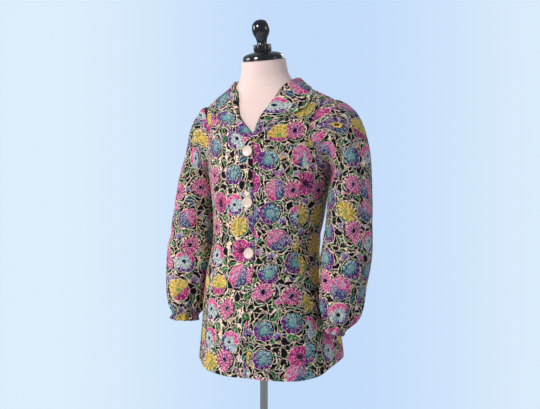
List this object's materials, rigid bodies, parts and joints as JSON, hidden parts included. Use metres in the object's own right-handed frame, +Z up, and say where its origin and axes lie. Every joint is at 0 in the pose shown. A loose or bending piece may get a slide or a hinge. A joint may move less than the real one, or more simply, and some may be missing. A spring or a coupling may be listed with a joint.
{
  "type": "blazer on dress form",
  "caption": "Collared, princess-seamed blazer with full gathered sleeves, buttoned on a limbless dress form that stands on a pole and a round weighted base.",
  "frame": {"origin": "centre of the underside of the base, on the axis of the pole", "axes": "+Z up along the pole, the garment's front faces -Y, the wearer's left is +X"},
  "size_m": [0.512, 0.3512, 1.5431],
  "materials": {
    "print_cloth": "crepe with a dense printed flower pattern",
    "button": "cream, gloss",
    "form_jersey": "pale pink jersey cover",
    "black_gloss": "black, high gloss",
    "pole_chrome": "bright plated",
    "base_enamel": "black satin enamel"
  },
  "bodies": {
    "root": {"front_left": "print_cloth", "front_right": "print_cloth", "side_front_left": "print_cloth", "side_front_right": "print_cloth", "back": "print_cloth", "sleeve_left": "print_cloth", "sleeve_right": "print_cloth", "collar": "print_cloth", "button_1": "button", "button_2": "button", "button_3": "button", "form_body": "form_jersey", "neck_cap": "black_gloss", "neck_nut": "black_gloss", "neck_knob": "black_gloss", "pole": "pole_chrome", "base": "base_enamel"}
  },
  "joints": []
}
